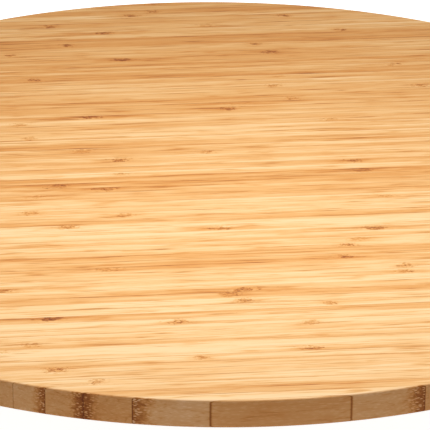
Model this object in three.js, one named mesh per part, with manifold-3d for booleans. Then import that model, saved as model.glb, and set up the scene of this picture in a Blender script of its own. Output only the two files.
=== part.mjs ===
// A lazy susan: a round bamboo board that turns on a small bamboo base.
//
// A square pressed-steel ball bearing sits between the two boards. Its lower plate is screwed to the base and
// its upper plate to the board, and a caged ring of steel balls runs in the groove that each plate has. The
// upper plate's inner edge is a neck, which passes through the lower plate and is rolled outwards under it, so
// the plates can't come apart. Rubber feet are screwed under the base.
//
// Units are millimetres, +Z is up, and the origin is the point of the turning axis on the table.

import * as THREE from "three";
import { mergeVertices } from "three/addons/utils/BufferGeometryUtils.js";
import Module from "manifold-3d";

const wasm = await Module();
wasm.setup();

// ---- Driving dimensions -------------------------------------------------------------------------------------

// The two boards.
const TOP_DIAMETER = 457; // 18 in
const TOP_THICKNESS = 12;
const TOP_EASING = 1; // the rim's eased edges
const BASE_RIM = 17.5; // wood beyond the bearing's corners
const BASE_THICKNESS = 12;
const BASE_EASING = 2;

// The bearing: a 6 in square pair of plates.
const PLATE_SIDE = 152;
const PLATE_CORNER_RADIUS = 12;
const PLATE_HOLE_INSET = 12.5; // side to screw hole
const SHEET = 1.2;
const RACE_INSET = 19; // side to the nearest ball's centre
const BALL_DIAMETER = 4.76; // 3/16 in
const BALL_COUNT = 24;
const CAGE_THICKNESS = 1;
const CAGE_WIDTH = 8.4;
const OUTER_LAND = 3; // flat ring outside the groove
const INNER_LAND = 4.5; // flat ring inside the groove
const STEP_RUN = 2.5; // how far the pressed step runs outwards
const LIP_OVERHANG = 2.2; // how far the rolled lip reaches under the lower plate

// The screws: number 6 pan heads. The wood that covers their points sets their lengths.
const SHANK_DIAMETER = 3.5;
const HEAD_DIAMETER = 7;
const HEAD_HEIGHT = 2.2;
const HEAD_WALL = 0.9; // the head's straight side, below its crown
const PLATE_SCREW_COVER = 3.8; // wood beyond the point of a plate's screw
const FOOT_SCREW_COVER = 2.45; // wood beyond the point of a foot's screw
const RECESS_WIDTH = 1;
const RECESS_SPAN = 3.8;
const RECESS_DEPTH = 1.3;

// The feet, and the hole in the base that a screwdriver goes through to reach the upper plate's screws.
const FOOT_COUNT = 4;
const FOOT_DIAMETER = 20;
const FOOT_TAPER = 1.5; // how far in the tread is
const FOOT_TAPER_HEIGHT = 2;
const FOOT_HEIGHT = 6;
const FOOT_INSET = 16; // base rim to foot centre
const FOOT_HEAD_HEIGHT = 0.7; // table to screw head
const WASHER_THICKNESS = 0.8;
const WASHER_DIAMETER = 8.6;
const ACCESS_HOLE_DIAMETER = 20;

// Clearances.
const SEAT_GAP = 0.05; // between faces that bear on each other
const BALL_CLEARANCE = 0.15; // ball to groove
const POCKET_CLEARANCE = 0.25; // ball to cage
const CAGE_CLEARANCE = 0.4; // cage to plate
const NECK_CLEARANCE = 0.6; // neck to the lower plate's hole
const LIP_CLEARANCE = 0.3; // rolled lip to the lower plate, and to the base
const GROOVE_STANDOFF = 0.27; // back of a groove to its board
const HEAD_CLEARANCE = 0.6; // between screw heads as they pass each other
const PLATE_HOLE_CLEARANCE = 0.75; // screw to plate
const PILOT_CLEARANCE = 0.3; // screw to wood, and screw to rubber
const PILOT_SPARE_DEPTH = 1;
const OVERCUT = 1; // how far a cutting tool runs past the face it cuts
const FLANGE_OVERLAP = 1.2; // how far a plate's pressed middle runs into its square sheet

// How finely round shapes are faceted.
const TOP_FACETS = 96;
const BASE_FACETS = 72;
const PLATE_FACETS = 60;
const CORNER_FACETS = 5;
const GROOVE_FACETS = 5;
const HOLE_FACETS = 16;
const ACCESS_HOLE_FACETS = 24;
const FOOT_FACETS = 20;
const SCREW_FACETS = 10;
const CROWN_FACETS = 2;
const BALL_FACETS = 10;
const BALL_BANDS = 6;
const POCKET_FACETS = 10;

// ---- Sizes that follow --------------------------------------------------------------------------------------

const raceRadius = PLATE_SIDE / 2 - RACE_INSET;
const screwCircleRadius = (PLATE_SIDE / 2 - PLATE_HOLE_INSET) * Math.SQRT2;
const plateReach = (PLATE_SIDE / 2 - PLATE_CORNER_RADIUS) * Math.SQRT2 + PLATE_CORNER_RADIUS;
const baseRadius = plateReach + BASE_RIM;
const footCircleRadius = baseRadius - FOOT_INSET;
const pilotRadius = SHANK_DIAMETER / 2 + PILOT_CLEARANCE;
const footRecessRadius = WASHER_DIAMETER / 2 + PILOT_CLEARANCE;

const ballRadius = BALL_DIAMETER / 2;
const landGap = CAGE_THICKNESS + 2 * CAGE_CLEARANCE;
// Half the bearing's height is the most that any of these needs: a ball in its groove, the rolled lip below the
// land, or a screw head that has to pass under another.
const bearingHalfHeight = Math.max(
  ballRadius + BALL_CLEARANCE + SHEET + GROOVE_STANDOFF,
  landGap / 2 + 2 * SHEET + 2 * LIP_CLEARANCE,
  SHEET + HEAD_HEIGHT + HEAD_CLEARANCE / 2,
);
const grooveRadius = ballRadius + BALL_CLEARANCE;
const grooveBackRadius = grooveRadius + SHEET;
const grooveBackHalfWidth = Math.sqrt(grooveBackRadius ** 2 - (landGap / 2 + SHEET) ** 2);
const landOuterRadius = raceRadius + grooveBackHalfWidth + OUTER_LAND;
const stepOuterRadius = landOuterRadius + STEP_RUN;
const lowerHoleRadius = raceRadius - grooveBackHalfWidth - INNER_LAND;
const neckOuterRadius = lowerHoleRadius - NECK_CLEARANCE;
const neckInnerRadius = neckOuterRadius - SHEET;
const lipOuterRadius = lowerHoleRadius + LIP_OVERHANG;
// The space that the rolled lip has above it and below it.
const lipGap = (bearingHalfHeight - landGap / 2 - 2 * SHEET) / 2;

// Levels, from the table up.
const baseBottom = FOOT_HEIGHT + SEAT_GAP;
const baseTop = baseBottom + BASE_THICKNESS;
const bearingMiddle = baseTop + SEAT_GAP + bearingHalfHeight;
const topBottom = bearingMiddle + bearingHalfHeight + SEAT_GAP;
const topTop = topBottom + TOP_THICKNESS;
const lowerHeadSeat = bearingMiddle - bearingHalfHeight + SHEET + SEAT_GAP;
const upperHeadSeat = bearingMiddle + bearingHalfHeight - SHEET - SEAT_GAP;
const footHeadSeat = FOOT_HEAD_HEIGHT + HEAD_HEIGHT;
const washerBottom = footHeadSeat + SEAT_GAP;
const washerTop = washerBottom + WASHER_THICKNESS;
const footRecessDepth = washerTop + SEAT_GAP;
const lowerScrewPoint = baseBottom + PLATE_SCREW_COVER;
const upperScrewPoint = topTop - PLATE_SCREW_COVER;
const footScrewPoint = baseTop - FOOT_SCREW_COVER;

// Directions, in radians from +X.
const quarter = Math.PI / 2;
const corners = [0.5, 1.5, 2.5, 3.5].map((turns) => turns * quarter);
const sides = [0, 1, 2, 3].map((turns) => turns * quarter);
const accessDirection = 3 * quarter;
const feet = Array.from({ length: FOOT_COUNT }, (_, i) => ((i + 0.5) * 4 * quarter) / FOOT_COUNT);
const balls = Array.from({ length: BALL_COUNT }, (_, i) => (i * 4 * quarter) / BALL_COUNT);

// ---- Materials ----------------------------------------------------------------------------------------------

const surface = (color, roughness, metalness) =>
  new THREE.MeshStandardMaterial({ color, roughness, metalness });
const bamboo = surface(0xf0bf85, 0.45, 0);
const bambooBase = surface(0xdca66a, 0.55, 0);
const zincPlate = surface(0xb9bcbe, 0.38, 0.9);
const polishedSteel = surface(0xd9dcde, 0.12, 1);
const nylon = surface(0xe9e4d6, 0.5, 0);
const rubber = surface(0x1d1d1e, 0.8, 0);
const zincScrew = surface(0xc4c6c4, 0.32, 0.9);

// ---- Shape helpers ------------------------------------------------------------------------------------------

// A point of a profile: distance from the axis, and height.
const at = (radius, height) => new THREE.Vector2(radius, height);

// Points along an arc in a profile, from one angle to another, ends included.
function arc(centreRadius, centreHeight, radius, from, to, facets) {
  return Array.from({ length: facets + 1 }, (_, i) => {
    const angle = from + ((to - from) * i) / facets;
    return at(centreRadius + radius * Math.cos(angle), centreHeight + radius * Math.sin(angle));
  });
}

// A profile turned about Z. It runs anticlockwise, and starts and ends on the axis or on itself.
const turned = (profile, facets) => new THREE.LatheGeometry(profile, facets).rotateX(quarter);

const turnedRing = (profile, facets) => turned([...profile, profile[0]], facets);

// A plain cylinder that stands on the given height, for cutting holes.
function rod(radius, bottom, top, facets) {
  return turned([at(0, bottom), at(radius, bottom), at(radius, top), at(0, top)], facets);
}

// A geometry as a solid that can be cut and joined.
function solid(geometry) {
  const bare = geometry.clone();
  bare.deleteAttribute("normal");
  bare.deleteAttribute("uv");
  const merged = mergeVertices(bare, 1e-4);
  return new wasm.Manifold(
    new wasm.Mesh({
      numProp: 3,
      vertProperties: merged.getAttribute("position").array,
      triVerts: new Uint32Array(merged.index.array),
    }),
  );
}

// A solid as a geometry that can be drawn.
function geometryOf(shape) {
  const mesh = shape.getMesh();
  return new THREE.BufferGeometry()
    .setAttribute("position", new THREE.BufferAttribute(mesh.vertProperties, mesh.numProp))
    .setIndex(new THREE.BufferAttribute(mesh.triVerts, 1));
}

// A geometry less all the others.
function cut(geometry, tools) {
  return geometryOf(tools.reduce((shape, tool) => shape.subtract(solid(tool)), solid(geometry)));
}

// The place at a distance from the axis in a direction, at a height.
const polar = (radius, direction, height) => [
  radius * Math.cos(direction),
  radius * Math.sin(direction),
  height,
];

const root = new THREE.Group();

function place(name, geometry, material, position = [0, 0, 0], parent = root) {
  const mesh = new THREE.Mesh(geometry, material);
  mesh.name = name;
  mesh.position.set(...position);
  parent.add(mesh);
  return mesh;
}

// ---- Boards -------------------------------------------------------------------------------------------------

// A round board with both edges eased, from one level to another.
function board(radius, bottom, top, easing, facets) {
  return turned(
    [
      at(0, bottom),
      at(radius - easing, bottom),
      at(radius, bottom + easing),
      at(radius, top - easing),
      at(radius - easing, top),
      at(0, top),
    ],
    facets,
  );
}

// A hole for each screw of a plate. Its mouth is at one level and its blind end at another.
function pilotHoles(directions, circleRadius, mouth, end) {
  const [low, high] = [Math.min(mouth, end), Math.max(mouth, end)];
  return directions.map((direction) =>
    rod(pilotRadius, low, high, SCREW_FACETS).translate(...polar(circleRadius, direction, 0)),
  );
}

function addTop() {
  const end = upperScrewPoint + PILOT_SPARE_DEPTH;
  const holes = pilotHoles(sides, screwCircleRadius, topBottom - OVERCUT, end);
  const disc = board(TOP_DIAMETER / 2, topBottom, topTop, TOP_EASING, TOP_FACETS);
  place("turntable_top", cut(disc, holes), bamboo);
}

function addBase() {
  const plateScrewEnd = lowerScrewPoint - PILOT_SPARE_DEPTH;
  const footScrewEnd = footScrewPoint + PILOT_SPARE_DEPTH;
  const accessHole = rod(
    ACCESS_HOLE_DIAMETER / 2,
    baseBottom - OVERCUT,
    baseTop + OVERCUT,
    ACCESS_HOLE_FACETS,
  ).translate(...polar(screwCircleRadius, accessDirection, 0));
  const disc = board(baseRadius, baseBottom, baseTop, BASE_EASING, BASE_FACETS);
  const holes = [
    ...pilotHoles(corners, screwCircleRadius, baseTop + OVERCUT, plateScrewEnd),
    ...pilotHoles(feet, footCircleRadius, baseBottom - OVERCUT, footScrewEnd),
    accessHole,
  ];
  place("base_disc", cut(disc, holes), bambooBase);
}

// ---- Bearing ------------------------------------------------------------------------------------------------

// The square sheet that a plate is pressed from, lying on Z = 0, with a hole left for its pressed middle.
function squareSheet(middleRadius) {
  const half = PLATE_SIDE / 2;
  const straight = half - PLATE_CORNER_RADIUS;
  const outline = new THREE.Shape();
  outline.moveTo(half, -straight);
  outline.absarc(straight, straight, PLATE_CORNER_RADIUS, 0, quarter);
  outline.absarc(-straight, straight, PLATE_CORNER_RADIUS, quarter, 2 * quarter);
  outline.absarc(-straight, -straight, PLATE_CORNER_RADIUS, 2 * quarter, 3 * quarter);
  outline.absarc(straight, -straight, PLATE_CORNER_RADIUS, 3 * quarter, 4 * quarter);
  outline.closePath();
  const sheet = new THREE.ExtrudeGeometry(outline, {
    depth: SHEET,
    bevelEnabled: false,
    curveSegments: CORNER_FACETS,
  });
  const holeRadius = SHANK_DIAMETER / 2 + PLATE_HOLE_CLEARANCE;
  const screwHoles = corners.map((direction) =>
    rod(holeRadius, -OVERCUT, SHEET + OVERCUT, HOLE_FACETS).translate(
      ...polar(screwCircleRadius, direction, 0),
    ),
  );
  const middle = rod(middleRadius, -OVERCUT, SHEET + OVERCUT, PLATE_FACETS);
  return cut(sheet, [middle, ...screwHoles]);
}

// The pressed middle of a plate, in section. Heights are from the bearing's middle plane, and this is the lower
// plate's: its flange is at the bottom, its lands are near the middle, and its groove faces up.
function pressedSection(flangeRadius, innerEdge) {
  const landTop = -landGap / 2;
  const landBottom = landTop - SHEET;
  const flangeBottom = -bearingHalfHeight;
  const frontEnd = Math.asin(landTop / grooveRadius);
  const backEnd = Math.asin(landBottom / grooveBackRadius);
  return [
    ...innerEdge(landTop, landBottom),
    ...arc(raceRadius, 0, grooveBackRadius, -Math.PI - backEnd, backEnd, GROOVE_FACETS),
    at(landOuterRadius, landBottom),
    at(stepOuterRadius, flangeBottom),
    at(flangeRadius, flangeBottom),
    at(flangeRadius, flangeBottom + SHEET),
    at(stepOuterRadius, flangeBottom + SHEET),
    at(landOuterRadius, landTop),
    ...arc(raceRadius, 0, grooveRadius, frontEnd, -Math.PI - frontEnd, GROOVE_FACETS),
  ];
}

// The lower plate ends at a plain round hole.
const plainEdge = (landTop, landBottom) => [
  at(lowerHoleRadius, landTop),
  at(lowerHoleRadius, landBottom),
];

// The upper plate, drawn upside down, ends in a neck that goes through the lower plate, with its end rolled out.
function rolledEdge(landTop, landBottom) {
  const lipFar = bearingHalfHeight - lipGap;
  const lipNear = lipFar - SHEET;
  return [
    at(neckOuterRadius, landTop),
    at(neckOuterRadius, lipNear),
    at(lipOuterRadius, lipNear),
    at(lipOuterRadius, lipFar),
    at(neckInnerRadius, lipFar),
    at(neckInnerRadius, landBottom),
  ];
}

// A whole plate about the bearing's middle plane, with its flange at the bottom.
function bearingPlate(innerEdge) {
  const sheetHoleRadius = stepOuterRadius + SHEET;
  const flangeRadius = sheetHoleRadius + FLANGE_OVERLAP;
  const sheet = squareSheet(sheetHoleRadius).translate(0, 0, -bearingHalfHeight);
  const middle = turnedRing(pressedSection(flangeRadius, innerEdge), PLATE_FACETS);
  return geometryOf(solid(sheet).add(solid(middle)));
}

function addBearing() {
  const bearing = new THREE.Group();
  bearing.position.z = bearingMiddle;
  root.add(bearing);

  place("lower_bearing_plate", bearingPlate(plainEdge), zincPlate, [0, 0, 0], bearing);

  // The upper plate is the same pressing turned over, an eighth of a turn round.
  const upper = bearingPlate(rolledEdge).rotateX(Math.PI).rotateZ(quarter / 2);
  place("upper_bearing_plate", upper, zincPlate, [0, 0, 0], bearing);

  place("ball_cage", ballCage(), nylon, [0, 0, 0], bearing);
  const ball = new THREE.SphereGeometry(ballRadius, BALL_FACETS, BALL_BANDS).rotateX(quarter);
  balls.forEach((direction, i) => {
    const name = "ball_" + String(i + 1).padStart(2, "0");
    place(name, ball, polishedSteel, polar(raceRadius, direction, 0), bearing);
  });
}

// A flat ring with a pocket for each ball.
function ballCage() {
  const [inner, outer] = [raceRadius - CAGE_WIDTH / 2, raceRadius + CAGE_WIDTH / 2];
  const half = CAGE_THICKNESS / 2;
  const ring = turnedRing(
    [at(inner, -half), at(outer, -half), at(outer, half), at(inner, half)],
    PLATE_FACETS,
  );
  const pocketRadius = (ballRadius + POCKET_CLEARANCE) / Math.cos(Math.PI / POCKET_FACETS);
  const pockets = balls.map((direction) =>
    rod(pocketRadius, -half - OVERCUT, half + OVERCUT, POCKET_FACETS).translate(
      ...polar(raceRadius, direction, 0),
    ),
  );
  return cut(ring, pockets);
}

// ---- Screws -------------------------------------------------------------------------------------------------

// A pan-head screw with a cross recess. Its head sits on Z = 0 and its point is down.
function screw(length) {
  const [shank, head] = [SHANK_DIAMETER / 2, HEAD_DIAMETER / 2];
  const crown = HEAD_HEIGHT - HEAD_WALL;
  const crownRadius = (head ** 2 + crown ** 2) / (2 * crown);
  const crownCentre = HEAD_HEIGHT - crownRadius;
  const crownEdge = Math.atan2(HEAD_WALL - crownCentre, head);
  const body = turned(
    [
      at(0, -length),
      at(shank, -length + SHANK_DIAMETER),
      at(shank, 0),
      at(head, 0),
      ...arc(0, crownCentre, crownRadius, crownEdge, quarter, CROWN_FACETS),
    ],
    SCREW_FACETS,
  );
  const slot = new THREE.BoxGeometry(RECESS_SPAN, RECESS_WIDTH, 2 * RECESS_DEPTH);
  slot.translate(0, 0, HEAD_HEIGHT);
  return cut(body, [slot, slot.clone().rotateZ(quarter)]);
}

function addPlateScrews() {
  const pointingDown = screw(lowerHeadSeat - lowerScrewPoint);
  const pointingUp = screw(upperScrewPoint - upperHeadSeat).rotateX(Math.PI);
  corners.forEach((direction, i) => {
    const position = polar(screwCircleRadius, direction, lowerHeadSeat);
    place(`lower_plate_screw_${i + 1}`, pointingDown, zincScrew, position);
  });
  sides.forEach((direction, i) => {
    const position = polar(screwCircleRadius, direction, upperHeadSeat);
    place(`upper_plate_screw_${i + 1}`, pointingUp, zincScrew, position);
  });
}

// ---- Feet ---------------------------------------------------------------------------------------------------

// A tapered rubber foot with a stepped hole: wide below for the screw's head, narrow above for its shank.
function foot() {
  const base = FOOT_DIAMETER / 2;
  return turnedRing(
    [
      at(footRecessRadius, 0),
      at(base - FOOT_TAPER, 0),
      at(base, FOOT_TAPER_HEIGHT),
      at(base, FOOT_HEIGHT),
      at(pilotRadius, FOOT_HEIGHT),
      at(pilotRadius, footRecessDepth),
      at(footRecessRadius, footRecessDepth),
    ],
    FOOT_FACETS,
  );
}

function footWasher() {
  return turnedRing(
    [
      at(pilotRadius, washerBottom),
      at(WASHER_DIAMETER / 2, washerBottom),
      at(WASHER_DIAMETER / 2, washerTop),
      at(pilotRadius, washerTop),
    ],
    HOLE_FACETS,
  );
}

function addFeet() {
  const [rubberFoot, washer] = [foot(), footWasher()];
  const footScrew = screw(footScrewPoint - footHeadSeat).rotateX(Math.PI);
  feet.forEach((direction, i) => {
    const centre = polar(footCircleRadius, direction, 0);
    const seat = polar(footCircleRadius, direction, footHeadSeat);
    place(`foot_${i + 1}`, rubberFoot, rubber, centre);
    place(`foot_washer_${i + 1}`, washer, zincPlate, centre);
    place(`foot_screw_${i + 1}`, footScrew, zincScrew, seat);
  });
}

addBase();
addBearing();
addPlateScrews();
addFeet();
addTop();

export default root;
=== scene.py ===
# %% [markdown]
# # A bamboo lazy susan
#
# A lazy susan is a round serving board that turns on a smaller base. This one is an 18 inch board of glued
# bamboo strips, on a square pressed-steel ball bearing, on a bamboo disc with four rubber feet.
#
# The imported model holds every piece's place and every joint. This lesson loads it as a fixed frame and gives
# each piece its fine mesh and its finish. The frame is in metres, +Z is up, and the turning axis is the Z
# axis. The lesson's own sizes are in millimetres, and `MM` turns them into metres.

# %% Load the frame
import math

import bmesh
import bpy
from mathutils import Matrix, Quaternion, Vector


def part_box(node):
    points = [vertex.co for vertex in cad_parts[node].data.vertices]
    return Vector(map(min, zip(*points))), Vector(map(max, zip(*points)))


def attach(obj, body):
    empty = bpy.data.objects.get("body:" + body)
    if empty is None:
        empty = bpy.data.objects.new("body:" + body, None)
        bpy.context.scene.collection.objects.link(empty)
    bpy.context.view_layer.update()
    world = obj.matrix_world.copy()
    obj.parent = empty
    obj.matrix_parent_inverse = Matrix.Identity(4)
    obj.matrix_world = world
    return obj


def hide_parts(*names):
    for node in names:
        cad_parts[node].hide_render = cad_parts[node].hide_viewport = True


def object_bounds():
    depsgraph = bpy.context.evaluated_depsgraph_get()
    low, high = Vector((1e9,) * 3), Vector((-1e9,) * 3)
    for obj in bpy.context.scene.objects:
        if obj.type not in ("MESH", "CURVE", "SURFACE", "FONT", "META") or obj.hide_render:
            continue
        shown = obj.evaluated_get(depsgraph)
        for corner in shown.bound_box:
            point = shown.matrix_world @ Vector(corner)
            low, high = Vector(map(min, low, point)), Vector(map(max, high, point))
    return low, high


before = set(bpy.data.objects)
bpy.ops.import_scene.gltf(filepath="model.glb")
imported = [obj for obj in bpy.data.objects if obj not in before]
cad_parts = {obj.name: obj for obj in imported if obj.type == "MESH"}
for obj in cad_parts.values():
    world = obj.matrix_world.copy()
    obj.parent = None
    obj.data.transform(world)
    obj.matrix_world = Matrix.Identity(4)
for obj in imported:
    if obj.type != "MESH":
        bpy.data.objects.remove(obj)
MM = 0.001
cad_low, cad_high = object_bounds()
print("its box is", [round(side / MM, 2) for side in cad_high - cad_low], "mm")

# %% [markdown]
# The camera comes first. It looks down at the front of the board through a long lens, from about 1.4 m
# away, so the sides of the board run out of the view and its back edge and front edge just fit. From so far
# away the back half of the board looks nearly as deep as the front half. The camera leans half a degree, as
# a camera held by hand does.
#
# The place of a camera is easiest to give as a person would say it: what it looks at, from which side, how
# high and how far. `to_track_quat` then aims it.

# %% Camera
CAMERA_LENS = 261
CAMERA_SIDE = math.radians(-6.46)
CAMERA_LIFT = math.radians(23.72)
CAMERA_LEAN = math.radians(0.49)
CAMERA_DISTANCE = 1.376
CAMERA_AIM = Vector((-0.0065, -0.0486, cad_high.z))

across = Matrix.Rotation(CAMERA_SIDE, 3, "Z") @ Vector((0, -math.cos(CAMERA_LIFT), 0))
towards_camera = across + Vector((0, 0, math.sin(CAMERA_LIFT)))


def new_object(name, data):
    """An object for a mesh, a light or a camera, put in the scene."""
    made = bpy.data.objects.new(name, data)
    bpy.context.scene.collection.objects.link(made)
    return made


camera = new_object("camera", bpy.data.cameras.new("camera"))
camera.data.lens = CAMERA_LENS
camera.data.clip_end = 100
camera.location = CAMERA_AIM + CAMERA_DISTANCE * towards_camera
camera.rotation_mode = "QUATERNION"
lean = Quaternion((0, 0, 1), CAMERA_LEAN)
camera.rotation_quaternion = (-towards_camera).to_track_quat("-Z", "Y") @ lean
bpy.context.scene.camera = camera
print("the camera is at", [round(side, 3) for side in camera.location])

# %% [markdown]
# Most pieces are round, so a piece often starts as a line of points, each a radius and a height, that is
# spun about the Z axis. Sharp corners catch no light, so `rounded` swaps each corner of such a line for a
# short arc of its own radius.

# %% Helpers for profiles
TURN = 2 * math.pi
SAME_POINT = 0.001 * MM


def corner_arc(before, corner, after, radius, steps):
    """Points of the arc that rounds a corner off."""
    back = (before - corner).normalized()
    ahead = (after - corner).normalized()
    half = back.angle(ahead) / 2
    reach = radius / math.tan(half)
    centre = corner + (back + ahead).normalized() * radius / math.sin(half)
    start = corner + back * reach - centre
    end = corner + ahead * reach - centre
    sweep = start.angle(end)
    weights = [(math.sin((1 - i / steps) * sweep), math.sin(i / steps * sweep)) for i in range(steps + 1)]
    return [centre + (start * a + end * b) / math.sin(sweep) for a, b in weights]


def rounded(points, steps=4):
    """A line of (radius, height, rounding) points, in millimetres, with its inner corners rounded."""
    flat = [Vector((point[0], point[1])) for point in points]
    line = [flat[0]]
    for i in range(1, len(points) - 1):
        rounding = points[i][2] if len(points[i]) > 2 else 0
        if rounding:
            line += corner_arc(flat[i - 1], flat[i], flat[i + 1], rounding, steps)
        else:
            line.append(flat[i])
    return [*line, flat[-1]]


def spun(line, steps, closed=False):
    """A new bmesh with a line of radius and height, in millimetres, spun once about the Z axis."""
    bm = bmesh.new()
    verts = [bm.verts.new((point[0] * MM, 0, point[1] * MM)) for point in line]
    edges = [bm.edges.new(pair) for pair in zip(verts, verts[1:])]
    if closed:
        edges.append(bm.edges.new((verts[-1], verts[0])))
    bmesh.ops.spin(
        bm,
        geom=verts + edges,
        cent=(0, 0, 0),
        axis=(0, 0, 1),
        angle=TURN,
        steps=steps,
        use_merge=True,
    )
    bmesh.ops.remove_doubles(bm, verts=bm.verts, dist=SAME_POINT)
    return bm


print("a rounded corner becomes", len(rounded([(9, 0), (9, 5, 1), (0, 5)])) - 2, "points")

# %% [markdown]
# A flat face with holes in it is made from its outlines alone. `triangle_fill` fills everything between
# closed loops of edges, so a plate is a few loops, a fill above, a fill below and a wall between each pair
# of loops. A made thing has no truly sharp edge, and `ease` takes the sharpness off.

# %% Helpers for flat faces with holes
def circle(bm, radius, height, facets, place=(0, 0)):
    """The edges of a new circle. Sizes are in millimetres, and place is its centre."""
    centre = Matrix.Translation(Vector((place[0], place[1], height)) * MM)
    made = bmesh.ops.create_circle(bm, radius=radius * MM, segments=facets, matrix=centre)
    return list({edge for vert in made["verts"] for edge in vert.link_edges})


def open_loop(bm, radius, height):
    """The boundary edges of a spun shape that lie at a radius and a height, in millimetres."""
    near = 0.02 * MM

    def on_it(vert):
        return abs(vert.co.xy.length - radius * MM) < near and abs(vert.co.z - height * MM) < near

    return [edge for edge in bm.edges if edge.is_boundary and all(map(on_it, edge.verts))]


def fill(bm, *loops):
    """Fills the flat space between loops of edges."""
    edges = [edge for loop in loops for edge in loop]
    bmesh.ops.triangle_fill(bm, edges=edges, use_beauty=True)


def verts_of(parts):
    """The vertices among the parts that an operator made."""
    return [part for part in parts if isinstance(part, bmesh.types.BMVert)]


def sink(bm, loop, depth, end_scale=1.0):
    """Draws a wall from a loop along Z, and returns the loop at its end. Depth is in millimetres."""
    made = bmesh.ops.extrude_edge_only(bm, edges=loop)["geom"]
    verts = verts_of(made)
    middle = sum((vert.co for vert in verts), Vector()) / len(verts)
    bmesh.ops.scale(bm, vec=(end_scale, end_scale, 1), verts=verts, space=Matrix.Translation(-middle))
    bmesh.ops.translate(bm, vec=(0, 0, depth * MM), verts=verts)
    return [part for part in made if isinstance(part, bmesh.types.BMEdge) and part.is_boundary]


def ease(bm, edges, width, segments=2):
    """Takes the sharpness off edges with a narrow bevel. Width is in millimetres."""
    bmesh.ops.bevel(
        bm, geom=edges, offset=width * MM, segments=segments, profile=0.5, affect="EDGES", material=-1
    )


bm = bmesh.new()
fill(bm, circle(bm, 10, 0, 32), circle(bm, 3, 0, 16))
print("a ring filled between 32 and 16 edges has", len(bm.faces), "faces")
bm.free()

# %% [markdown]
# A finished bmesh becomes an object at the origin, with its place in its mesh, as the frame's own nodes
# have. It is shaded smooth, apart from edges sharper than 30 degrees. The piece then rides on a body of the
# frame, and the frame's plain node that it takes the place of is hidden.

# %% Helpers that finish and copy a piece
SMOOTH_UP_TO = 30


def add_piece(bm, name, body, node, material, sharp_angle=SMOOTH_UP_TO):
    """Makes a finished piece of a bmesh, which is used up."""
    bmesh.ops.remove_doubles(bm, verts=bm.verts, dist=SAME_POINT)
    bmesh.ops.recalc_face_normals(bm, faces=bm.faces)
    for face in bm.faces:
        face.smooth = True
    mesh = bpy.data.meshes.new(name)
    bm.to_mesh(mesh)
    bm.free()
    mesh.set_sharp_from_angle(angle=math.radians(sharp_angle))
    mesh.materials.append(material)
    piece = new_object(name, mesh)
    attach(piece, body)
    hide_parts(node)


def copy_of(bm, place, turn=0.0):
    """A copy of a bmesh, turned about Z and then moved to a place in millimetres."""
    made = bm.copy()
    move = Matrix.Translation(Vector(place) * MM) @ Matrix.Rotation(turn, 4, "Z")
    bmesh.ops.transform(made, matrix=move, verts=made.verts)
    return made


print("edges up to", SMOOTH_UP_TO, "degrees are shaded smooth")

# %% [markdown]
# Finishes are node trees, and these helpers keep them short. Each adds one node, sets or links its inputs,
# and returns its output, so that a tree reads like a sum. A value given as a number is typed into the
# socket, and a value given as a socket is linked. No helper is told which tree it works in, because a socket
# knows that itself, as its `id_data`.

# %% Helpers for nodes
def plug(socket, value):
    if isinstance(value, bpy.types.NodeSocket):
        socket.id_data.links.new(value, socket)
    else:
        socket.default_value = value


def new_node(kind, values, **settings):
    """A node with its settings made and its first inputs filled. One of the values is a socket."""
    tree = next(value.id_data for value in values if isinstance(value, bpy.types.NodeSocket))
    made = tree.nodes.new(kind)
    for setting, choice in settings.items():
        setattr(made, setting, choice)
    for socket, value in zip(made.inputs, values):
        plug(socket, value)
    return made


def calc(operation, *values):
    return new_node("ShaderNodeMath", values, operation=operation).outputs[0]


def add_all(*values):
    total = values[0]
    for value in values[1:]:
        total = calc("ADD", total, value)
    return total


def multiply(*values):
    total = values[0]
    for value in values[1:]:
        total = calc("MULTIPLY", total, value)
    return total


def fade(value, start, end, low=0.0, high=1.0):
    """Goes smoothly from low to high as the value goes from start to end."""
    values = (value, start, end, low, high)
    return new_node("ShaderNodeMapRange", values, interpolation_type="SMOOTHSTEP").outputs[0]


def hump(distance, width):
    """A bell shape: 1 where the distance is 0, fading out over the width."""
    share = calc("DIVIDE", distance, width)
    return calc("EXPONENT", multiply(share, share, -1.0))


def middled(value, amount):
    """A value from 0 to 1 turned into plus and minus half the amount."""
    return multiply(calc("SUBTRACT", value, 0.5), amount)


def vector(x=0.0, y=0.0, z=0.0):
    return new_node("ShaderNodeCombineXYZ", (x, y, z)).outputs[0]


def noise(place, scale=1.0, detail=2.0, roughness=0.5, distortion=0.0):
    made = new_node("ShaderNodeTexNoise", (place,))
    made.inputs["Scale"].default_value = scale
    made.inputs["Detail"].default_value = detail
    made.inputs["Roughness"].default_value = roughness
    made.inputs["Distortion"].default_value = distortion
    return made.outputs["Fac"]


def mix_colours(share, a, b):
    made = new_node("ShaderNodeMix", (share,), data_type="RGBA")
    plug(made.inputs[6], a)
    plug(made.inputs[7], b)
    return made.outputs[2]


# %% [markdown]
# A pattern that more than one material uses goes into a node group with named inputs and outputs. It is
# built once, and each material places it with values of its own.

# %% Helpers for node groups
def new_group(name, inputs, outputs):
    """A node group with its sockets made, as (tree, inputs by name, outputs by name)."""
    tree = bpy.data.node_groups.new(name, "ShaderNodeTree")
    kinds = {"value": "NodeSocketFloat", "vector": "NodeSocketVector", "colour": "NodeSocketColor"}
    for label, kind in inputs.items():
        tree.interface.new_socket(label, in_out="INPUT", socket_type=kinds[kind])
    for label, kind in outputs.items():
        tree.interface.new_socket(label, in_out="OUTPUT", socket_type=kinds[kind])
    entry = tree.nodes.new("NodeGroupInput")
    leave = tree.nodes.new("NodeGroupOutput")
    return tree, {socket.name: socket for socket in entry.outputs if socket.name}, leave.inputs


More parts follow.
